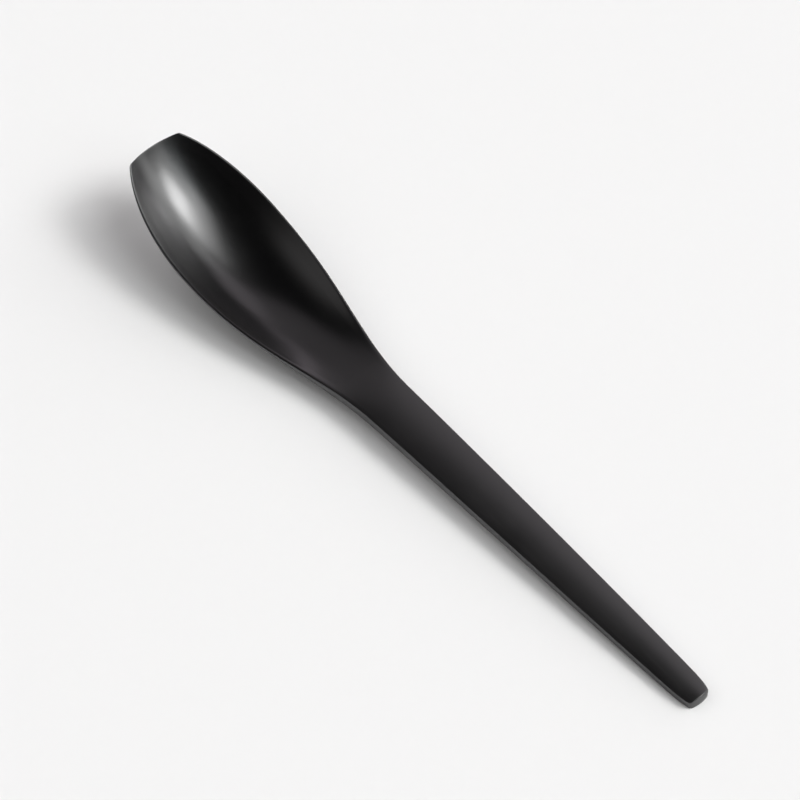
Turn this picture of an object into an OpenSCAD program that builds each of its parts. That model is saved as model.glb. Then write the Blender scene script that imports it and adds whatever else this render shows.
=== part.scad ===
// A table spoon carved from one piece of wood and finished in black lacquer.
// It has a long bowl with a cut-off tip, and a plain tapering handle.
//
// The finished surface is a grid of points: a row of cross-sections along the
// spoon, each with a top line, two side walls and an underside line. Every
// coat is the space between two such skins, one set in from the other, so the
// coats and the wood meet face to face.
//
// +X points from the handle's end to the bowl's tip, +Z is up, and the origin
// is under the middle of the spoon, on the surface that it lies on.

/* [Length] */
// Length from the handle's end to the middle of the tip
overall_length = 200; // [160:1:250]
// Length of the bowl, from the neck to the tip
bowl_length = 89.6; // [72:0.1:108]

/* [Bowl] */
// Widest width over the rim
bowl_width = 31.4; // [26:0.1:38]
// Distance of the widest place from the tip
widest_from_tip = 29.3; // [24:0.1:36]
// Width between the corners of the cut-off tip
tip_width = 16.2; // [13:0.1:20]
// How far the tip's edge bows out beyond its corners
tip_bow = 1.8; // [0.8:0.1:2.4]
// Rise of the rim from the neck to the corners of the tip
tip_rise = 16.8; // [13:0.1:21]
// Depth of the hollow below the rim at its deepest
bowl_depth = 9; // [7:0.1:11]
// Depth of the hollow at the tip's edge
tip_depth = 0.8; // [0.5:0.1:1.6]
// Width of the rim's flat top
rim_width = 0.8; // [0.7:0.1:1.4]
// Height of the rim's outer wall
rim_wall = 0.8; // [0.6:0.1:1.2]
// Thickness of the bowl's floor at its deepest
floor_thickness = 2; // [1.6:0.1:3]
// Thickness of the bowl at the tip's edge, measured straight down
tip_thickness = 1.5; // [1.2:0.1:2]

/* [Handle] */
// Width at the neck
neck_width = 13.6; // [10.5:0.1:16.5]
// Width of the handle near its end
end_width = 7.1; // [5.8:0.1:9]
// Thickness at the neck, without the crown
neck_thickness = 4.6; // [3.6:0.1:5.8]
// Thickness at the end, without the crown
end_thickness = 2.7; // [2.2:0.1:3.4]
// How far the rounded underside hangs below the side walls at the neck
neck_belly = 1.6; // [1.3:0.1:2]
// How far the rounded underside hangs below the side walls at the end
end_belly = 0.4; // [0.3:0.1:0.6]
// How far the top edges climb from the end to the neck
neck_climb = 4.9; // [3.8:0.1:6]
// Rise of the rounded top above its edges
crown = 0.5; // [0.3:0.1:0.8]
// Length of the rounding at the handle's end
end_rounding = 6.8; // [5.4:0.1:8.2]

/* [Finish] */
// Thickness of the ground coat that seals the wood
ground_thickness = 0.1; // [0.07:0.01:0.13]
// Thickness of the black lacquer
lacquer_thickness = 0.12; // [0.09:0.01:0.15]
// Thickness of the clear varnish in the bowl
varnish_thickness = 0.08; // [0.06:0.01:0.1]

/* [Hidden] */

// Sections along the handle's rounded end, its shaft and the bowl
end_sections = 3;
shaft_sections = 16;
bowl_sections = 28;
// Points across half of a section, from the middle to the rim's inner edge
half_points = 6;
// Depth that the rounded underside is worn flat where the spoon rests
rest_flat = 0.3;
// Share of the handle's width that the blunt end keeps
end_blunt = 0.45;
// How much the side walls lean in, as a share of their height
wall_lean = 0.08;
// Roundness of the hollow and of the underside across the spoon
hollow_power = 2.2;
underside_power = 2.3;
// How the handle widens along its length: under 1, its sides bow out a little
taper_power = 0.81;
// How the outline swells, and the rim sweeps up, from the neck to the tip
swell_power = 1.115;
rise_power = 2.52;
climb_power = 1.25;
// How late the hollow closes between its widest place and the tip
closing_power = 2.4;
// Length over which the thick neck thins to the bowl's floor
floor_blend = 38;
// Length over which the handle's side wall dies into the rim's
wall_blend = 37;
// How far the varnish starts past the neck, and stops short of the tip
varnish_start = 9;
varnish_stop = 1.2;
// Most of the half width that the rim takes where the spoon is narrow
rim_share = 1 / 4;
// How much closer together the bowl's sections stand towards the tip
section_power = 1.25;
// Step between the places where the spoon may touch the surface under it
lay_step = 0.5;
// How many times a straight line may cross a coat or the varnish, for previews
coat_crossings = 8;
varnish_crossings = 6;

neck_x = overall_length - bowl_length;
widest_x = overall_length - widest_from_tip;
corner_x = overall_length - tip_bow;

function mix(a, b, t) = a + (b - a) * t;
function clip(t) = min(1, max(0, t));
function ease(t) = let (c = clip(t)) c * c * (3 - 2 * c);

// Height of a quarter oval that falls from 1 to 0 over "reach"
function oval(distance, reach) = sqrt(max(0, 1 - pow(distance / reach, 2)));

// Share of the way from the handle's end to the neck, and from neck to tip
function along_handle(x) = clip(x / neck_x);
function along_bowl(x) = clip((x - neck_x) / (corner_x - neck_x));

// Half width of the outline at the top edge
function handle_half(x) = mix(end_width, neck_width, pow(x / neck_x, taper_power)) / 2
    * mix(end_blunt, 1, oval(1 - clip(x / end_rounding), 1));
function swell(x) = pow(cos(90 * pow(clip((widest_x - x) / (widest_x - neck_x)), swell_power)), 2);
// The outline's oval is cut off where it has narrowed to the tip's width
tip_reach = (corner_x - widest_x) / sqrt(1 - pow(tip_width / bowl_width, 2));
function half_width(x) = x < widest_x
    ? mix(handle_half(x), bowl_width / 2, swell(x))
    : bowl_width / 2 * oval(x - widest_x, tip_reach);
function inner_half(x) = half_width(x) - min(rim_width, half_width(x) * rim_share);

// Depth of the hollow: it eases in at the neck and closes towards the tip
function hollow(x) = x < widest_x
    ? bowl_depth * (1 - cos(180 * clip((x - neck_x) / (widest_x - neck_x)))) / 2
    : mix(bowl_depth, tip_depth, pow((x - widest_x) / (corner_x - widest_x), closing_power));

// Thickness under the hollow or the crown
function thickness(x) = x < neck_x
    ? mix(end_thickness, neck_thickness, along_handle(x))
    : x < widest_x
    ? mix(neck_thickness, floor_thickness, ease((x - neck_x) / floor_blend))
    : mix(floor_thickness, tip_thickness, (x - widest_x) / (corner_x - widest_x));
function wall(x) = x < neck_x
    ? thickness(x) - mix(end_belly, neck_belly, along_handle(x))
    : mix(neck_thickness - neck_belly, rim_wall, ease((x - neck_x) / wall_blend));
function crown_at(x) = crown * (1 - ease((x - neck_x) / wall_blend));

// Height of the top edge before the spoon is laid down
function loose_edge(x) = end_thickness - rest_flat
    + neck_climb * (1 - pow(1 - along_handle(x), climb_power))
    + tip_rise * pow(along_bowl(x), rise_power);
function loose_bottom(x) = loose_edge(x) - hollow(x) - thickness(x);

// The spoon lies on its handle's end and on the lowest place of its bowl
function lay_slope(x) = (-rest_flat - loose_bottom(x)) / x;
lie = max([for (x = [neck_x : lay_step : corner_x]) lay_slope(x)]);
function edge_height(x) = loose_edge(x) + lie * x;

// One point of a section, at y = across from -1 to 1 of the half width
function bow(x, across) = tip_bow * ease((x - widest_x) / (corner_x - widest_x)) * (1 - across * across);
function top_point(x, across) = let (share = inner_half(x) / half_width(x)) [
    x + bow(x, across * share),
    across * inner_half(x),
    edge_height(x) + (crown_at(x) - hollow(x)) * (1 - pow(abs(across), hollow_power))
];
function edge_point(x, side) = [x, side * half_width(x), edge_height(x)];
function foot_half(x) = half_width(x) - wall_lean * wall(x);
function under_point(x, across) = [
    x + bow(x, across * foot_half(x) / half_width(x)),
    across * foot_half(x),
    max(0, edge_height(x) - wall(x)
        - (hollow(x) + thickness(x) - wall(x)) * (1 - pow(abs(across), underside_power)))
];

// A section's ring: the top line from -Y to +Y, then the underside back
steps = [for (i = [-half_points : half_points]) i / half_points];
under_steps = [for (i = [half_points + 1 : -1 : -half_points - 1]) i / (half_points + 1)];
function ring(x) = concat(
    [edge_point(x, -1)],
    [for (across = steps) top_point(x, across)],
    [edge_point(x, 1)],
    [for (across = under_steps) under_point(x, across)]
);
half_ring = len(under_steps);
ring_size = 2 * half_ring;

sections = concat(
    [for (i = [0 : end_sections]) end_rounding * (1 - cos(90 * i / end_sections))],
    [for (i = [1 : shaft_sections]) mix(end_rounding, neck_x, i / shaft_sections)],
    [for (i = [1 : bowl_sections]) mix(neck_x, corner_x, 1 - pow(1 - i / bowl_sections, section_power))]
);
last = len(sections) - 1;
finished = [for (x = sections) ring(x)];

// The way in at a point that moves every face around it in by one unit: the
// faces on both sides of the point and, on the first and last ring, the end
function unit(v) = v / norm(v);
function tip_lean(y) = 2 * tip_bow * y / pow(tip_width / 2, 2);
function end_face(i, j) = i == 0 ? [-1, 0, 0]
    : i == last ? unit([1, tip_lean(finished[i][j].y), 0])
    : [0, 0, 0];
function inset_way(i, j) =
    let (
        here = finished[i][j],
        along = unit(finished[min(last, i + 1)][j] - finished[max(0, i - 1)][j]),
        next = unit(cross(along, finished[i][(j + 1) % ring_size] - here)),
        before = unit(cross(along, here - finished[i][(j + ring_size - 1) % ring_size])),
        side = (next + before) / (1 + next * before),
        face = end_face(i, j)
    ) norm(face) == 0 ? side : side + along * (1 - side * face) / (along * face);
function skin_point(i, j, depth) = finished[i][j] - depth * inset_way(i, j);
function skin(depth) = [for (i = [0 : last]) for (j = [0 : ring_size - 1]) skin_point(i, j, depth)];

// Faces are triangles, clockwise from outside
function at(i, j) = i * ring_size + j % ring_size;
function around(i) = [for (j = [0 : ring_size - 1]) each [
    [at(i, j), at(i, j + 1), at(i + 1, j + 1)],
    [at(i, j), at(i + 1, j + 1), at(i + 1, j)]
]];
function end_cap(i, flip) = [for (j = [0 : half_ring - 2])
    let (
        a = at(i, j),
        b = at(i, j + 1),
        c = at(i, ring_size - 2 - j),
        d = at(i, ring_size - 1 - j)
    ) each (flip ? [[a, c, b], [a, d, c]] : [[a, b, c], [a, c, d]])];
skin_faces = concat(
    [for (i = [0 : last - 1]) each around(i)],
    end_cap(0, true),
    end_cap(last, false)
);

module solid_skin(depth) {
    polyhedron(points = skin(depth), faces = skin_faces, convexity = coat_crossings);
}

// The varnish is a sheet on the hollow: its underside lies on the lacquer
varnish_from = neck_x + varnish_start;
varnish_to = corner_x - varnish_stop;
wet = [for (i = [0 : last]) if (sections[i] > varnish_from && sections[i] < varnish_to) i];
wet_across = 2 * half_points - 1;
function wet_layer(height) = [for (i = wet) for (j = [2 : wet_across + 1]) skin_point(i, j, -height)];
wet_points = concat(wet_layer(0), wet_layer(varnish_thickness));
wet_size = len(wet) * wet_across;
function wet_at(layer, row, column) = layer * wet_size + row * wet_across + column;
function wet_quad(a, b, c, d) = [[a, b, c], [a, c, d]];
function wet_sheet(layer) = [for (r = [0 : len(wet) - 2]) for (c = [0 : wet_across - 2])
    let (
        p = wet_at(layer, r, c),
        q = wet_at(layer, r, c + 1),
        s = wet_at(layer, r + 1, c + 1),
        t = wet_at(layer, r + 1, c)
    ) each (layer == 1 ? wet_quad(p, q, s, t) : wet_quad(q, p, t, s))];
function wet_side(column, flip) = [for (r = [0 : len(wet) - 2])
    let (
        p = wet_at(0, r, column),
        q = wet_at(0, r + 1, column),
        s = wet_at(1, r + 1, column),
        t = wet_at(1, r, column)
    ) each (flip ? wet_quad(q, p, t, s) : wet_quad(p, q, s, t))];
function wet_end(row, flip) = [for (c = [0 : wet_across - 2])
    let (
        p = wet_at(0, row, c),
        q = wet_at(0, row, c + 1),
        s = wet_at(1, row, c + 1),
        t = wet_at(1, row, c)
    ) each (flip ? wet_quad(q, p, t, s) : wet_quad(p, q, s, t))];
wet_faces = concat(
    wet_sheet(1),
    wet_sheet(0),
    wet_side(0, true),
    wet_side(wet_across - 1, false),
    wet_end(0, false),
    wet_end(len(wet) - 1, true)
);

module centred() {
    translate([-overall_length / 2, 0, 0]) children();
}

// The carved blank
module wood_core() {
    color("burlywood") centred() solid_skin(lacquer_thickness + ground_thickness);
}

// The sealing coat all round the wood
module ground_coat() {
    color("dimgray") centred() difference() {
        solid_skin(lacquer_thickness);
        solid_skin(lacquer_thickness + ground_thickness);
    }
}

// The black coat all round the ground coat
module black_lacquer() {
    color([0.08, 0.08, 0.085]) centred() difference() {
        solid_skin(0);
        solid_skin(lacquer_thickness);
    }
}

// The clear coat that makes the bowl glossier than the handle
module bowl_varnish() {
    color([0.25, 0.26, 0.27]) centred() polyhedron(points = wet_points, faces = wet_faces, convexity = varnish_crossings);
}

wood_core();
ground_coat();
black_lacquer();
bowl_varnish();
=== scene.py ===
from math import cos, pi, radians, sin, sqrt, tan

import bmesh
import bpy
from bpy.props import FloatProperty, FloatVectorProperty, PointerProperty
from bpy.types import Operator, Panel, PropertyGroup
from mathutils import Matrix, Vector


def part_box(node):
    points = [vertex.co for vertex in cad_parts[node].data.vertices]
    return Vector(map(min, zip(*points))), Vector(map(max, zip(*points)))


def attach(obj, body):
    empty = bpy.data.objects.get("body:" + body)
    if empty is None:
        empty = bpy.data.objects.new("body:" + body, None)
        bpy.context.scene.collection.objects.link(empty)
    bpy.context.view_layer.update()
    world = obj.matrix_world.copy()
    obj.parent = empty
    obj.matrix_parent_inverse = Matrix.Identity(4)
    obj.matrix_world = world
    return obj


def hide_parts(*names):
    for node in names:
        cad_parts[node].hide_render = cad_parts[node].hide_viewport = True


bl_info = {
    "name": "Black Lacquered Spoon",
    "version": (1, 0, 0),
    "blender": (4, 5, 0),
    "location": "View3D > Sidebar > Spoon",
    "description": "Builds a carved wooden spoon with its coats of black lacquer and varnish",
    "category": "Object",
}

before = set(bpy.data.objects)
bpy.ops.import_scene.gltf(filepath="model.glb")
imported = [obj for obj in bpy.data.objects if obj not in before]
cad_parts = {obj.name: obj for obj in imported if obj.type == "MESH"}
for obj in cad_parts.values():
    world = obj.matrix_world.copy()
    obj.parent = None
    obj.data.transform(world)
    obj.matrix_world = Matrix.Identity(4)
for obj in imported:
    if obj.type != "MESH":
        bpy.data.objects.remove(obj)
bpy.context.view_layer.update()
spoon_low, spoon_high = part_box("black_lacquer")
MM = 0.001
# How far the varnish soaks into the lacquer under it
SOAK = 0.03 * MM


# ---------------------------------------------------------------- settings


def length_property(name, description, millimetres):
    return FloatProperty(
        name=name,
        description=description,
        default=millimetres * MM,
        min=0.0,
        precision=5,
        subtype="DISTANCE",
        unit="LENGTH",
    )


def factor_property(name, description, value):
    return FloatProperty(name=name, description=description, default=value, min=0.0, max=1.0)


def colour_property(name, description, value):
    return FloatVectorProperty(
        name=name,
        description=description,
        default=value,
        size=3,
        min=0.0,
        max=1.0,
        subtype="COLOR",
    )


class SpoonSizes(PropertyGroup):
    overall_length: length_property(
        "Overall Length", "From the handle's end to the middle of the tip",
        (spoon_high.x - spoon_low.x) / MM,
    )
    bowl_length: length_property("Bowl Length", "From the neck to the tip", 89.6)
    bowl_width: length_property(
        "Bowl Width", "Widest width over the rim", (spoon_high.y - spoon_low.y) / MM
    )
    widest_from_tip: length_property("Widest From Tip", "Distance of the widest place from the tip", 29.3)
    tip_width: length_property("Tip Width", "Between the corners of the cut-off tip", 16.2)
    tip_bow: length_property("Tip Bow", "How far the tip's edge bows out beyond its corners", 1.8)
    tip_rise: length_property("Tip Rise", "Rise of the rim from the neck to the tip's corners", 16.8)
    bowl_depth: length_property("Bowl Depth", "Depth of the hollow at its deepest", 9.0)
    tip_depth: length_property("Tip Depth", "Depth of the hollow at the tip's edge", 0.8)
    rim_width: length_property("Rim Width", "Width of the rim's rounded top", 0.6)
    rim_roll: length_property("Rim Roll", "Fall of the rim's top towards its outer edge", 0.2)
    rim_wall: length_property("Rim Wall", "Height of the rim's outer wall", 1.1)
    floor_thickness: length_property("Floor Thickness", "Thickness of the bowl's floor", 2.0)
    tip_thickness: length_property("Tip Thickness", "Thickness at the tip's edge", 1.5)
    neck_width: length_property("Neck Width", "Width of the handle at the neck", 13.6)
    end_width: length_property("End Width", "Width of the handle near its end", 7.1)
    neck_thickness: length_property("Neck Thickness", "Thickness at the neck", 4.6)
    end_thickness: length_property("End Thickness", "Thickness at the handle's end", 2.7)
    neck_belly: length_property("Neck Belly", "How far the underside hangs below the walls at the neck", 1.6)
    end_belly: length_property("End Belly", "How far the underside hangs below the walls at the end", 0.4)
    neck_climb: length_property("Neck Climb", "How far the top edges climb from the end to the neck", 4.9)
    crown: length_property("Crown", "Rise of the handle's rounded top above its edges", 0.8)
    end_rounding: length_property("End Rounding", "Length of the rounding at the handle's end", 6.8)
    end_bow: length_property("End Bow", "How far the handle's end bows out beyond its corners", 0.4)
    edge_round: length_property("Edge Round", "Softening of the crisp edges", 0.16)


class SpoonCoats(PropertyGroup):
    ground_thickness: length_property("Ground Coat", "Thickness of the coat that seals the wood", 0.1)
    lacquer_thickness: length_property("Lacquer", "Thickness of the black lacquer", 0.12)
    varnish_thickness: length_property("Varnish", "Thickness of the clear varnish in the bowl", 0.04)
    varnish_feather: length_property("Varnish Feather", "Width over which the varnish thins out", 8.0)
    varnish_start: length_property("Varnish Start", "How far past the neck the varnish starts", 9.0)
    varnish_stop: length_property("Varnish Stop", "How far short of the tip the varnish stops", 1.2)
    gloss_start: length_property("Gloss Start", "Where the finish begins to turn glossy", 14.0)
    gloss_end: length_property("Gloss End", "Where the finish is fully glossy", 56.0)
    lacquer_colour: colour_property(
        "Lacquer Colour", "Colour of the black lacquer", (0.0022, 0.0019, 0.0022)
    )
    rubbed_colour: colour_property(
        "Rubbed Colour", "Colour of the lacquer where it is rubbed", (0.0036, 0.0032, 0.0034)
    )
    varnish_colour: colour_property(
        "Varnish Colour", "Colour of the lacquer seen through varnish", (0.0010, 0.0009, 0.0011)
    )
    wood_colour: colour_property("Wood Colour", "Pale bands of the wood", (0.52, 0.34, 0.19))
    grain_colour: colour_property("Grain Colour", "Dark bands of the wood", (0.33, 0.19, 0.09))
    ground_colour: colour_property("Ground Colour", "Colour of the ground coat", (0.10, 0.085, 0.075))
    handle_roughness: factor_property("Handle Roughness", "Roughness of the matte handle", 0.37)
    bowl_roughness: factor_property("Bowl Roughness", "Roughness of the lacquer in the bowl", 0.29)
    gloss_weight: factor_property("Gloss Weight", "Strength of the polished top coat in the bowl", 0.25)
    sheen_level: factor_property("Sheen Level", "Strength of the lacquer's own reflection", 1.0)
    coat_roughness: factor_property("Gloss Roughness", "Roughness of the polished top coat", 0.25)


class SpoonStage(PropertyGroup):
    floor_colour: colour_property("Floor Colour", "Colour of the pale floor", (0.835, 0.830, 0.826))
    camera_distance: length_property("Camera Distance", "From the camera to the spoon", 1400.0)
    camera_lens: FloatProperty(
        name="Camera Lens", description="Focal length", default=259.4, min=1.0, unit="CAMERA"
    )
    light_level: FloatProperty(
        name="Light Level", description="Brightness of all the soft lights", default=1.0, min=0.0
    )
    light_distance: length_property("Light Distance", "From the soft lights to the spoon", 20000.0)
    backdrop_level: FloatProperty(
        name="Backdrop Level", description="How pale the background looks", default=0.9, min=0.0
    )
    sky_level: FloatProperty(
        name="Sky Level", description="Even light from all round", default=0.008, min=0.0
    )


# -------------------------------------------------------------------- form


def mix(a, b, t):
    return a + (b - a) * t


def clip(t):
    return min(1.0, max(0.0, t))


def ease(t):
    t = clip(t)
    return t * t * (3 - 2 * t)


def oval(t):
    return sqrt(max(0.0, 1 - t * t))


class Form:
    """Where every point of the finished surface lies; x runs from the handle's end."""

    end_sections = 6
    shaft_sections = 46
    bowl_sections = 58
    half_points = 11
    lie_steps = 200
    rest_flat = 0.3 * MM
    end_blunt = 0.78
    end_power = 1.6
    wall_lean = 0.08
    hollow_power = 2.2
    underside_power = 2.3
    crown_power = 2.0
    taper_power = 0.81
    swell_power = 1.115
    rise_power = 2.52
    climb_power = 1.25
    closing_power = 2.4
    section_power = 1.25
    floor_blend = 38 * MM
    wall_blend = 37 * MM
    rim_share = 0.25
    turn_width = 0.34 * MM

    def __init__(self, sizes):
        self.s = sizes
        self.neck_x = sizes.overall_length - sizes.bowl_length
        self.widest_x = sizes.overall_length - sizes.widest_from_tip
        self.corner_x = sizes.overall_length - sizes.tip_bow
        self.tip_reach = (self.corner_x - self.widest_x) / sqrt(
            1 - (sizes.tip_width / sizes.bowl_width) ** 2
        )
        # edge_height reads the lie, so it starts level. It is then the slope that rests both
        # the handle's end and the bowl's lowest point on the floor.
        self.lie = 0.0
        spots = [mix(self.neck_x, self.corner_x, i / self.lie_steps) for i in range(self.lie_steps + 1)]
        self.lie = max(
            (self.hollow(x) + self.thickness(x) - self.rest_flat - self.edge_height(x)) / x for x in spots
        )
        self.sections = self.section_places()
        self.rings = [self.ring(x) for x in self.sections]

    def section_places(self):
        end = self.s.end_rounding
        places = [end * (i / self.end_sections) ** self.end_power for i in range(self.end_sections + 1)]
        places += [
            mix(end, self.neck_x, i / self.shaft_sections) for i in range(1, self.shaft_sections + 1)
        ]
        return places + [
            mix(self.neck_x, self.corner_x, 1 - (1 - i / self.bowl_sections) ** self.section_power)
            for i in range(1, self.bowl_sections + 1)
        ]

    def half_width(self, x):
        if x >= self.widest_x:
            return self.s.bowl_width / 2 * oval((x - self.widest_x) / self.tip_reach)
        handle = mix(self.s.end_width, self.s.neck_width, (x / self.neck_x) ** self.taper_power) / 2
        handle *= mix(self.end_blunt, 1, oval(1 - clip(x / self.s.end_rounding)))
        t = clip((self.widest_x - x) / (self.widest_x - self.neck_x))
        return mix(handle, self.s.bowl_width / 2, cos(pi / 2 * t**self.swell_power) ** 2)

    def inner_half(self, x):
        half = self.half_width(x)
        return half - min(self.s.rim_width, half * self.rim_share)

    def hollow(self, x):
        s = self.s
        if x < self.widest_x:
            t = clip((x - self.neck_x) / (self.widest_x - self.neck_x))
            return s.bowl_depth * (1 - cos(pi * t)) / 2
        t = (x - self.widest_x) / (self.corner_x - self.widest_x)
        return mix(s.bowl_depth, s.tip_depth, t**self.closing_power)

    def thickness(self, x):
        s = self.s
        if x < self.neck_x:
            return mix(s.end_thickness, s.neck_thickness, x / self.neck_x)
        if x < self.widest_x:
            return mix(s.neck_thickness, s.floor_thickness, ease((x - self.neck_x) / self.floor_blend))
        return mix(
            s.floor_thickness, s.tip_thickness, (x - self.widest_x) / (self.corner_x - self.widest_x)
        )

    def wall(self, x):
        s = self.s
        if x < self.neck_x:
            return self.thickness(x) - mix(s.end_belly, s.neck_belly, x / self.neck_x)
        return mix(
            s.neck_thickness - s.neck_belly, s.rim_wall, ease((x - self.neck_x) / self.wall_blend)
        )

    def edge_height(self, x):
        s = self.s
        handle = clip(x / self.neck_x)
        bowl = clip((x - self.neck_x) / (self.corner_x - self.neck_x))
        return (
            s.end_thickness
            - self.rest_flat
            + s.neck_climb * (1 - (1 - handle) ** self.climb_power)
            + s.tip_rise * bowl**self.rise_power
            + self.lie * x
        )

    def crown_at(self, x):
        return self.s.crown * (1 - ease((x - self.neck_x) / self.wall_blend))

    def bow(self, x, across):
        """Both ends bow out: the tip's middle stands forward, and the end's corners hang back."""
        tip = ease((x - self.widest_x) / (self.corner_x - self.widest_x))
        end = (1 - clip(x / self.s.end_rounding)) ** 2
        return self.s.tip_bow * tip * (1 - across * across) + self.s.end_bow * end * across * across

    def top(self, x, y):
        """The hollow or the crowned handle, from edge to edge."""
        half = self.half_width(x)
        rise = self.crown_at(x) * (1 - abs(y / half) ** self.crown_power)
        inner = self.inner_half(x)
        dip = self.hollow(x) * (1 - min(1.0, abs(y) / inner) ** self.hollow_power)
        outer_share = max(0.0, abs(y) - inner) / (half - inner)
        roll = self.s.rim_roll * outer_share * ease((x - self.neck_x) / self.wall_blend)
        return Vector((x + self.bow(x, y / half), y, self.edge_height(x) + rise - dip - roll))

    def under(self, x, across):
        half = self.half_width(x)
        foot = half - self.wall_lean * self.wall(x)
        drop = self.hollow(x) + self.thickness(x) - self.wall(x)
        height = self.edge_height(x) - self.wall(x) - drop * (1 - abs(across) ** self.underside_power)
        return Vector((x + self.bow(x, across * foot / half), across * foot, max(0.0, height)))

    def ring(self, x):
        half, inner, count = self.half_width(x), self.inner_half(x), self.half_points
        turn = 1 - max(1 / (count + 1), self.turn_width / half)
        points = [self.top(x, -half)]
        points += [self.top(x, inner * i / count) for i in range(-count, count + 1)]
        points += [self.top(x, half), self.under(x, 1)]
        points += [self.under(x, turn * i / count) for i in range(count, -count - 1, -1)]
        points += [self.under(x, -1)]
        return [p - Vector((self.s.overall_length / 2, 0, 0)) for p in points]


# Points closer than this are one point
MERGE_DISTANCE = 1e-7


def wrapped_grid(form):
    """The finished surface, closed: a grid wrapped round the sections, and its two ends."""
    rows, columns = len(form.rings) - 1, len(form.rings[0])
    half = columns // 2
    bm = bmesh.new()
    bmesh.ops.create_grid(bm, x_segments=rows, y_segments=columns, size=1)
    row = bm.verts.layers.int.new("row")
    column = bm.verts.layers.int.new("column")
    for v in bm.verts:
        v[row] = round((v.co.x + 1) / 2 * rows)
        v[column] = round((v.co.y + 1) / 2 * columns) % columns
        v.co = form.rings[v[row]][v[column]]
    bmesh.ops.remove_doubles(bm, verts=bm.verts[:], dist=MERGE_DISTANCE)
    for end in (0, rows):
        rim = [e for e in bm.edges if e.is_boundary and e.verts[0][row] == end]
        chains = [
            e for e in rim
            if all(v[column] < half for v in e.verts) or all(v[column] >= half for v in e.verts)
        ]
        bmesh.ops.bridge_loops(bm, edges=chains)
    bmesh.ops.recalc_face_normals(bm, faces=bm.faces[:])
    return bm, row, column


# An end's outline is crisp where its faces meet at more than this
CREASE_ANGLE = radians(40)


def crisp_edges(bm, row, column, form):
    """The lengthwise edges of the rim and walls, and the outlines of the two ends."""
    rows, columns = len(form.rings) - 1, len(form.rings[0])
    half = columns // 2
    outer = (0, half - 1, half, columns - 1)
    inner = (1, half - 2)
    chosen = []
    for e in bm.edges:
        a, b = e.verts
        lengthwise = a[column] == b[column] and a[row] != b[row]
        at_end = a[row] == b[row] and a[row] in (0, rows)
        outline = at_end and e.calc_face_angle(0) > CREASE_ANGLE
        start = min(a[row], b[row])
        has_rim = form.sections[start] > form.neck_x + form.wall_blend / 2
        if outline or (lengthwise and (a[column] in outer or (a[column] in inner and has_rim))):
            chosen.append(e)
    return chosen


def spoon_skin(depth):
    """The finished surface with its crisp edges softened, or a crisp one set in by a depth."""
    scene = bpy.context.scene
    form = Form(scene.spoon_sizes)
    bm, row, column = wrapped_grid(form)
    if depth > 0:
        bm.normal_update()
        moves = [(v, v.normal * depth * v.calc_shell_factor()) for v in bm.verts]
        for v, way in moves:
            v.co -= way
        return bm
    bmesh.ops.bevel(
        bm,
        geom=crisp_edges(bm, row, column, form),
        offset=scene.spoon_sizes.edge_round,
        offset_type="OFFSET",
        segments=2,
        profile=0.5,
        affect="EDGES",
        clamp_overlap=True,
        material=-1,
    )
    return bm


def coat(outer_depth, inner_depth):
    """A closed coat: the outer skin, and the inner skin turned inside out."""
    bm = spoon_skin(outer_depth)
    inner = spoon_skin(inner_depth)
    bmesh.ops.reverse_faces(inner, faces=inner.faces[:])
    lining = bpy.data.meshes.new("lining")
    inner.to_mesh(lining)
    inner.free()
    bm.from_mesh(lining)
    bpy.data.meshes.remove(lining)
    return bm


def finish_piece(bm, name, material, node):
    for face in bm.faces:
        face.smooth = True
    mesh = bpy.data.meshes.new(name)
    bm.to_mesh(mesh)
    bm.free()
    piece = bpy.data.objects.new(name, mesh)
    bpy.context.scene.collection.objects.link(piece)
    smoothing = piece.modifiers.new("Smooth Surface", "SUBSURF")
    smoothing.levels = smoothing.render_levels = 1
    mesh.materials.append(material)
    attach(piece, "root")
    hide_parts(node)
    return piece


# --------------------------------------------------------------- materials


class Nodes:
    """Places nodes in a tree and joins them."""

    def __init__(self, tree):
        self.tree = tree

    def add(self, kind, settings=None, **inputs):
        node = self.tree.nodes.new(kind)
        for key, value in (settings or {}).items():
            setattr(node, key, value)
        for key, value in inputs.items():
            self.put(node, key.replace("_", " "), value)
        return node

    def put(self, node, socket, value):
        target = node.inputs[socket]
        if isinstance(value, bpy.types.NodeSocket):
            self.tree.links.new(value, target)
        else:
            target.default_value = value

    def math(self, operation, a, b=0.0, clamp=False):
        node = self.tree.nodes.new("ShaderNodeMath")
        node.operation, node.use_clamp = operation, clamp
        for index, value in enumerate((a, b)):
            if isinstance(value, bpy.types.NodeSocket):
                self.tree.links.new(value, node.inputs[index])
            else:
                node.inputs[index].default_value = value
        return node.outputs[0]

    def spread(self, value, low, high, to_low=0.0, to_high=1.0, smooth=True):
        node = self.add(
            "ShaderNodeMapRange",
            {"interpolation_type": "SMOOTHSTEP" if smooth else "LINEAR"},
            Value=value, From_Min=low, From_Max=high, To_Min=to_low, To_Max=to_high,
        )
        return node.outputs["Result"]

    def blend(self, factor, a, b):
        node = self.tree.nodes.new("ShaderNodeMix")
        node.data_type = "RGBA"
        for index, value in ((0, factor), (6, a), (7, b)):
            if isinstance(value, bpy.types.NodeSocket):
                self.tree.links.new(value, node.inputs[index])
            elif index == 0:
                node.inputs[index].default_value = value
            else:
                node.inputs[index].default_value = (*value, 1.0)
        return node.outputs[2]

    def noise(self, vector, scale, detail=2.0, roughness=0.5):
        node = self.add("ShaderNodeTexNoise", Vector=vector, Scale=scale, Detail=detail, Roughness=roughness)
        return node.outputs["Fac"]

    def stretched(self, vector, scale):
        return self.add("ShaderNodeMapping", Vector=vector, Scale=scale).outputs["Vector"]


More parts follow.
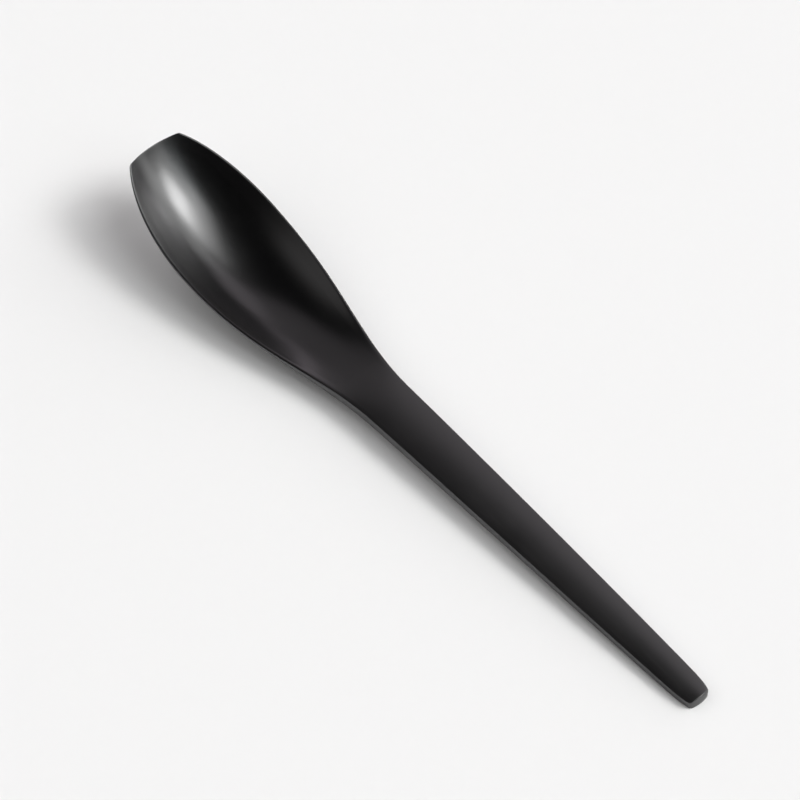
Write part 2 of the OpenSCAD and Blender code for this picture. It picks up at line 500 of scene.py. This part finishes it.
def new_group(name, inputs, outputs):
    group = bpy.data.node_groups.new(name, "ShaderNodeTree")
    for socket, kind, value in inputs:
        made = group.interface.new_socket(socket, in_out="INPUT", socket_type=kind)
        if value is not None:
            made.default_value = value
    for socket, kind in outputs:
        group.interface.new_socket(socket, in_out="OUTPUT", socket_type=kind)
    nodes = Nodes(group)
    return nodes, nodes.add("NodeGroupInput").outputs, nodes.add("NodeGroupOutput")


FLOAT, VECTOR = "NodeSocketFloat", "NodeSocketVector"


def rub_marks_group():
    """Fine rubbing lines along the spoon, in patches, as a height and a mask."""
    nodes, given, out = new_group(
        "Rub Marks",
        [("Vector", VECTOR, None), ("Line Density", FLOAT, 900.0), ("Patch Size", FLOAT, 0.012)],
        [("Height", FLOAT), ("Mask", FLOAT)],
    )
    lines = nodes.noise(nodes.stretched(given["Vector"], (0.03, 1.0, 1.0)), given["Line Density"], 3.0, 0.6)
    patches = nodes.noise(given["Vector"], nodes.math("DIVIDE", 1.0, given["Patch Size"]), 1.0)
    where = nodes.spread(patches, 0.42, 0.62)
    fine = nodes.spread(lines, 0.5, 0.72)
    nodes.put(out, "Mask", nodes.math("MULTIPLY", fine, where))
    nodes.put(out, "Height", nodes.math("MULTIPLY", lines, where))
    return nodes.tree


def hand_finish_group():
    """Soft unevenness of a hand-laid coat, and a sparse scatter of dust nibs."""
    nodes, given, out = new_group(
        "Hand Finish",
        [("Vector", VECTOR, None), ("Wave Size", FLOAT, 0.009), ("Nib Size", FLOAT, 0.0012)],
        [("Wave", FLOAT), ("Nibs", FLOAT), ("Cloud", FLOAT)],
    )
    wave = nodes.noise(given["Vector"], nodes.math("DIVIDE", 1.0, given["Wave Size"]), 1.0)
    cloud = nodes.noise(given["Vector"], nodes.math("DIVIDE", 0.35, given["Wave Size"]), 3.0, 0.6)
    cells = nodes.add(
        "ShaderNodeTexVoronoi", Vector=given["Vector"],
        Scale=nodes.math("DIVIDE", 0.25, given["Nib Size"]),
    )
    nibs = nodes.spread(cells.outputs["Distance"], 0.07, 0.02)
    rare = nodes.add("ShaderNodeSeparateColor", Color=cells.outputs["Color"]).outputs["Red"]
    nodes.put(out, "Wave", wave)
    nodes.put(out, "Cloud", cloud)
    nodes.put(out, "Nibs", nodes.math("MULTIPLY", nibs, nodes.math("GREATER_THAN", rare, 0.9)))
    return nodes.tree


def shared_group(name):
    makers = {"Rub Marks": rub_marks_group, "Hand Finish": hand_finish_group}
    return bpy.data.node_groups.get(name) or makers[name]()


def new_material(name):
    material = bpy.data.materials.new(name)
    material.use_nodes = True
    nodes = Nodes(material.node_tree)
    shader = next(n for n in nodes.tree.nodes if n.type == "BSDF_PRINCIPLED")
    place = nodes.add("ShaderNodeTexCoord").outputs["Object"]
    return material, nodes, shader, place


def placed_group(nodes, name, **inputs):
    return nodes.add("ShaderNodeGroup", {"node_tree": shared_group(name)}, **inputs).outputs


# What the soft unevenness, the dust nibs and the rubbing lines add to the lacquer's relief
WAVE_SHARE = 0.35
NIB_SHARE = 0.4
LINE_SHARE = 0.012
RELIEF_HEIGHT = 0.12 * MM
RELIEF_STRENGTH = 0.25
# How much the roughness drifts in clouds, and how much the rubbing lines add to it
CLOUD_ROUGHNESS = 0.02
LINE_ROUGHNESS = 0.05
# How far the rubbing lines turn to the paler colour, and the gloss that they leave
LINE_PALENESS = 0.25
LINE_GLOSS = 0.1


def black_finish(name, colour, paler_colour):
    """Black lacquer that turns from matte on the handle to glossy in the bowl."""
    coats = bpy.context.scene.spoon_coats
    material, nodes, shader, place = new_material(name)
    marks = placed_group(nodes, "Rub Marks", Vector=place)
    hand = placed_group(nodes, "Hand Finish", Vector=place)
    along = nodes.add("ShaderNodeSeparateXYZ", Vector=place).outputs["X"]
    gloss = nodes.spread(along, coats.gloss_start, coats.gloss_end)
    rough = nodes.spread(gloss, 0.0, 1.0, coats.handle_roughness, coats.bowl_roughness, smooth=False)
    worn = nodes.spread(marks["Mask"], 0.0, 1.0, coats.gloss_weight, LINE_GLOSS, smooth=False)
    nodes.put(shader, "Coat Weight", nodes.math("MULTIPLY", gloss, worn))
    shader.inputs["Coat Roughness"].default_value = coats.coat_roughness
    shader.inputs["Specular IOR Level"].default_value = coats.sheen_level
    drift = nodes.spread(hand["Cloud"], 0.3, 0.7, -CLOUD_ROUGHNESS, CLOUD_ROUGHNESS, smooth=False)
    lines = nodes.math("MULTIPLY", marks["Mask"], LINE_ROUGHNESS)
    rough = nodes.math("ADD", nodes.math("ADD", rough, drift), lines, clamp=True)
    nodes.put(shader, "Roughness", rough)
    matte = nodes.math("SUBTRACT", 1.0, gloss)
    rubbed = nodes.math("MULTIPLY", matte, nodes.spread(hand["Cloud"], 0.35, 0.7))
    lines = nodes.math("MULTIPLY", marks["Mask"], LINE_PALENESS)
    rubbed = nodes.math("ADD", rubbed, lines, clamp=True)
    nodes.put(shader, "Base Color", nodes.blend(rubbed, colour, paler_colour))
    wave = nodes.math("MULTIPLY", hand["Wave"], WAVE_SHARE)
    nibs = nodes.math("MULTIPLY", hand["Nibs"], NIB_SHARE)
    lines = nodes.math("MULTIPLY", marks["Height"], LINE_SHARE)
    height = nodes.math("ADD", nodes.math("ADD", wave, nibs), lines)
    bump = nodes.add("ShaderNodeBump", Strength=RELIEF_STRENGTH, Distance=RELIEF_HEIGHT, Height=height)
    nodes.put(shader, "Normal", bump.outputs["Normal"])
    return material


def lacquer_material():
    coats = bpy.context.scene.spoon_coats
    return black_finish("Black Lacquer", coats.lacquer_colour, coats.rubbed_colour)


def varnish_material():
    coats = bpy.context.scene.spoon_coats
    return black_finish("Bowl Varnish", coats.varnish_colour, coats.lacquer_colour)


GRIT_SCALE = 2600.0
GRIT_HEIGHT = 0.06 * MM
GROUND_PALENESS = 1.5


def ground_material():
    coats = bpy.context.scene.spoon_coats
    material, nodes, shader, place = new_material("Ground Coat")
    hand = placed_group(nodes, "Hand Finish", Vector=place, Wave_Size=0.004)
    grit = nodes.noise(place, GRIT_SCALE, 2.0)
    pale = tuple(c * GROUND_PALENESS for c in coats.ground_colour)
    nodes.put(shader, "Base Color", nodes.blend(hand["Cloud"], coats.ground_colour, pale))
    nodes.put(shader, "Roughness", nodes.spread(grit, 0.3, 0.7, 0.75, 0.92, smooth=False))
    bump = nodes.add("ShaderNodeBump", Strength=0.5, Distance=GRIT_HEIGHT, Height=grit)
    nodes.put(shader, "Normal", bump.outputs["Normal"])
    return material


DRIFT_SCALE = 160.0
PORE_SCALE = 2400.0
PORE_DARKNESS = 0.4
GRAIN_HEIGHT = 0.08 * MM


def wood_material():
    coats = bpy.context.scene.spoon_coats
    material, nodes, shader, place = new_material("Carved Wood")
    drift = nodes.noise(nodes.stretched(place, (0.12, 1.0, 1.0)), DRIFT_SCALE, 2.0)
    rings = nodes.add(
        "ShaderNodeTexWave", {"wave_type": "BANDS", "bands_direction": "Y"},
        Vector=nodes.stretched(place, (0.04, 1.0, 0.6)),
        Scale=95.0, Distortion=4.0, Detail=2.0, Detail_Scale=1.2,
    ).outputs["Fac"]
    pores = nodes.noise(nodes.stretched(place, (0.05, 1.0, 1.0)), PORE_SCALE, 2.0)
    dark = nodes.spread(pores, 0.6, 0.72)
    grain = nodes.math("MULTIPLY", nodes.math("ADD", rings, drift), 0.5)
    grain = nodes.math("ADD", grain, nodes.math("MULTIPLY", dark, PORE_DARKNESS), clamp=True)
    nodes.put(shader, "Base Color", nodes.blend(grain, coats.wood_colour, coats.grain_colour))
    nodes.put(shader, "Roughness", nodes.spread(grain, 0.0, 1.0, 0.55, 0.78, smooth=False))
    bump = nodes.add("ShaderNodeBump", Strength=0.4, Distance=GRAIN_HEIGHT, Height=grain)
    nodes.put(shader, "Normal", bump.outputs["Normal"])
    return material


# ------------------------------------------------------------------ pieces


class SPOON_OT_wood_core(Operator):
    """Carve the wooden blank that lies under the coats"""

    bl_idname = "spoon.wood_core"
    bl_label = "Wood Core"

    def execute(self, context):
        coats = context.scene.spoon_coats
        bm = spoon_skin(coats.lacquer_thickness + coats.ground_thickness)
        finish_piece(bm, "carved_blank", wood_material(), "wood_core")
        return {"FINISHED"}


class SPOON_OT_ground_coat(Operator):
    """Lay the ground coat that seals the wood"""

    bl_idname = "spoon.ground_coat"
    bl_label = "Ground Coat"

    def execute(self, context):
        coats = context.scene.spoon_coats
        inner = coats.lacquer_thickness + coats.ground_thickness
        bm = coat(coats.lacquer_thickness, inner)
        finish_piece(bm, "sealing_ground", ground_material(), "ground_coat")
        return {"FINISHED"}


class SPOON_OT_black_lacquer(Operator):
    """Lay the black lacquer all over the ground coat"""

    bl_idname = "spoon.black_lacquer"
    bl_label = "Black Lacquer"

    def execute(self, context):
        bm = coat(0.0, context.scene.spoon_coats.lacquer_thickness)
        finish_piece(bm, "lacquer_coat", lacquer_material(), "black_lacquer")
        return {"FINISHED"}


class SPOON_OT_bowl_varnish(Operator):
    """Brush the clear varnish on the hollow, thinning out towards its border"""

    bl_idname = "spoon.bowl_varnish"
    bl_label = "Bowl Varnish"
    # Columns of the grid that stay bare at each side, and those over which the varnish thins out
    bare_columns = 2
    thinning_columns = 3

    def execute(self, context):
        coats = context.scene.spoon_coats
        form = Form(context.scene.spoon_sizes)
        bm, row, column = wrapped_grid(form)
        half = len(form.rings[0]) // 2
        start = form.neck_x + coats.varnish_start
        stop = form.corner_x - coats.varnish_stop
        covered = [start < x < stop for x in form.sections]
        left, right = self.bare_columns, half - 1 - self.bare_columns
        bare = [
            f for f in bm.faces
            if not all(covered[v[row]] and left <= v[column] <= right for v in f.verts)
        ]
        bmesh.ops.delete(bm, geom=bare, context="FACES")
        bm.normal_update()
        bm.verts.ensure_lookup_table()
        rows = [v[row] for v in bm.verts]
        first, last = form.sections[min(rows)], form.sections[max(rows)]
        lift = {}
        # Its border dips just under the lacquer's surface, so that no edge stands up
        for v in bm.verts:
            x = form.sections[v[row]]
            side = min(v[column] - left, right - v[column]) / self.thinning_columns
            ends = min(x - first, last - x) / coats.varnish_feather
            thin = min(ease(ends), ease(side))
            lift[v] = v.normal * mix(-SOAK / 2, coats.varnish_thickness, thin)
        laid = {(v[row], v[column]): v.co + way for v, way in lift.items()}
        for v in lift:
            v.co -= v.normal * SOAK
        grown = bmesh.ops.extrude_face_region(bm, geom=bm.faces[:], use_keep_orig=True)
        for v in grown["geom"]:
            if isinstance(v, bmesh.types.BMVert):
                v.co = laid[v[row], v[column]]
        bmesh.ops.recalc_face_normals(bm, faces=bm.faces[:])
        finish_piece(bm, "bowl_clearcoat", varnish_material(), "bowl_varnish")
        return {"FINISHED"}


# ------------------------------------------------------------------- stage

# What the camera and the lights aim at, and the camera's right and forward along the floor
TARGET = Vector((0.0131, -0.0057, 0.0))
VIEW_RIGHT = Vector((-0.6585, -0.7526, 0.0))
AWAY = Vector((0.7526, -0.6585, 0.0))
CAMERA_ELEVATION = radians(53.02)
# The camera's sensor in millimetres, and how far it sees and how far the floor reaches in metres
SENSOR_WIDTH = 36
VIEW_REACH = 50
FLOOR_HALF = 6.0
# The floor lies this far under the spoon, and its darkest specks keep this share of its colour
FLOOR_GAP = 0.02 * MM
FLOOR_SPECK = 0.992
SPECK_SCALE = 400.0


def direction(azimuth, elevation):
    """Azimuth 0 is to the right of the camera's view, and 90 is away from the camera."""
    flat = VIEW_RIGHT * cos(azimuth) + AWAY * sin(azimuth)
    return flat * cos(elevation) + Vector((0, 0, 1)) * sin(elevation)


def aimed(place, back, side=None):
    """A world matrix at place that looks against back."""
    back = back.normalized()
    right = (side or Vector((0, 0, 1)).cross(back)).normalized()
    up = back.cross(right)
    turn = Matrix((right, up, back)).transposed().to_4x4()
    turn.translation = place
    return turn


# Each soft light: azimuth, elevation, width and height in degrees, its glow, and its tint
SOFT_LIGHTS = {
    "key": (-8, 46, 24, 18, 10.6, (1, 1, 1)),
    "key_halo": (-14, 46, 54, 40, 1.6, (0.985, 1, 1)),
    "key_away": (30, 38, 24, 24, 1.5, (1, 1, 1)),
    "key_high": (-16, 66, 48, 20, 2.0, (1, 1, 1)),
    "key_side": (-52, 46, 26, 28, 0.8, (0.9, 0.97, 1)),
    "key_low": (12, 20, 36, 16, 2.0, (1, 1, 1)),
    "low_away": (40, 12, 26, 16, 2.4, (1, 0.98, 1)),
    "low_far": (74, 12, 34, 18, 0.8, (1.0, 0.9, 0.98)),
    "far_edge": (66, 38, 24, 32, 0.34, (1.0, 0.9, 0.98)),
    "far_fill": (88, 42, 60, 36, 0.28, (1.0, 0.93, 0.98)),
    "back_fill": (-178, 25, 40, 22, 0.42, (1.0, 0.97, 0.97)),
    "floor_fill": (180, 50, 80, 50, 0.85, (1, 1, 1)),
}
# This one only lifts the shadows, and stays out of the reflections
DULL_LIGHT = "floor_fill"


def soft_light(name, azimuth, elevation, width, height, glow, tint):
    """A panel at the light distance that fills those degrees of the view from the spoon."""
    look = bpy.context.scene.spoon_stage
    light = bpy.data.lights.new(name, "AREA")
    light.shape = "RECTANGLE"
    light.size = 2 * look.light_distance * tan(radians(width / 2))
    light.size_y = 2 * look.light_distance * tan(radians(height / 2))
    light.energy = glow * look.light_level * pi * light.size * light.size_y
    light.color = tint
    lamp = bpy.data.objects.new(name, light)
    bpy.context.scene.collection.objects.link(lamp)
    way = direction(radians(azimuth), radians(elevation))
    lamp.matrix_world = aimed(TARGET + way * look.light_distance, way)
    lamp.visible_glossy = name != DULL_LIGHT
    return lamp


class SPOON_OT_stage(Operator):
    """Set the pale floor, the soft lights and the camera"""

    bl_idname = "spoon.stage"
    bl_label = "Stage"

    def execute(self, context):
        scene = context.scene
        look = scene.spoon_stage
        self.lay_floor(scene, look)
        self.place_camera(scene, look)
        for name, values in SOFT_LIGHTS.items():
            soft_light(name, *values)
        self.light_sky(scene, look)
        scene.view_settings.view_transform = "Standard"
        return {"FINISHED"}

    def light_sky(self, scene, look):
        """A dim even light; beyond the floor's edge the sky itself looks as pale as the floor."""
        world = bpy.data.worlds.new("Studio")
        scene.world = world
        world.use_nodes = True
        nodes = Nodes(world.node_tree)
        background = world.node_tree.nodes["Background"]
        background.inputs["Color"].default_value = (1, 1, 1, 1)
        seen = nodes.add("ShaderNodeLightPath").outputs["Is Camera Ray"]
        strength = nodes.spread(seen, 0.0, 1.0, look.sky_level, look.backdrop_level, smooth=False)
        nodes.put(background, "Strength", strength)

    def lay_floor(self, scene, look):
        bm = bmesh.new()
        bmesh.ops.create_grid(bm, x_segments=4, y_segments=4, size=FLOOR_HALF)
        bmesh.ops.translate(bm, verts=bm.verts[:], vec=(0, 0, -FLOOR_GAP))
        mesh = bpy.data.meshes.new("studio_floor")
        bm.to_mesh(mesh)
        bm.free()
        floor = bpy.data.objects.new("studio_floor", mesh)
        scene.collection.objects.link(floor)
        material, nodes, shader, place = new_material("Pale Floor")
        speckle = nodes.noise(place, SPECK_SCALE, 2.0)
        dim = tuple(c * FLOOR_SPECK for c in look.floor_colour)
        nodes.put(shader, "Base Color", nodes.blend(speckle, look.floor_colour, dim))
        shader.inputs["Roughness"].default_value = 1.0
        shader.inputs["Specular IOR Level"].default_value = 0.0
        mesh.materials.append(material)

    def place_camera(self, scene, look):
        data = bpy.data.cameras.new("Camera")
        data.lens = look.camera_lens
        data.sensor_width = SENSOR_WIDTH
        data.clip_end = VIEW_REACH
        camera = bpy.data.objects.new("Camera", data)
        scene.collection.objects.link(camera)
        back = direction(radians(-90), CAMERA_ELEVATION)
        camera.matrix_world = aimed(TARGET + back * look.camera_distance, back, VIEW_RIGHT)
        scene.camera = camera


class SPOON_PT_panel(Panel):
    bl_idname = "SPOON_PT_panel"
    bl_label = "Lacquered Spoon"
    bl_space_type = "VIEW_3D"
    bl_region_type = "UI"
    bl_category = "Spoon"

    def draw(self, context):
        layout = self.layout
        for settings in (context.scene.spoon_sizes, context.scene.spoon_coats, context.scene.spoon_stage):
            box = layout.box()
            for name in settings.__annotations__:
                box.prop(settings, name)
        for operator in OPERATORS:
            layout.operator(operator.bl_idname)


OPERATORS = (
    SPOON_OT_wood_core,
    SPOON_OT_ground_coat,
    SPOON_OT_black_lacquer,
    SPOON_OT_bowl_varnish,
    SPOON_OT_stage,
)
CLASSES = (SpoonSizes, SpoonCoats, SpoonStage, *OPERATORS, SPOON_PT_panel)


def register():
    for cls in CLASSES:
        bpy.utils.register_class(cls)
    bpy.types.Scene.spoon_sizes = PointerProperty(type=SpoonSizes)
    bpy.types.Scene.spoon_coats = PointerProperty(type=SpoonCoats)
    bpy.types.Scene.spoon_stage = PointerProperty(type=SpoonStage)


def unregister():
    del bpy.types.Scene.spoon_stage
    del bpy.types.Scene.spoon_coats
    del bpy.types.Scene.spoon_sizes
    for cls in reversed(CLASSES):
        bpy.utils.unregister_class(cls)


def main():
    register()
    bpy.ops.spoon.wood_core()
    bpy.ops.spoon.ground_coat()
    bpy.ops.spoon.black_lacquer()
    bpy.ops.spoon.bowl_varnish()
    bpy.ops.spoon.stage()


if __name__ == "__main__":
    main()
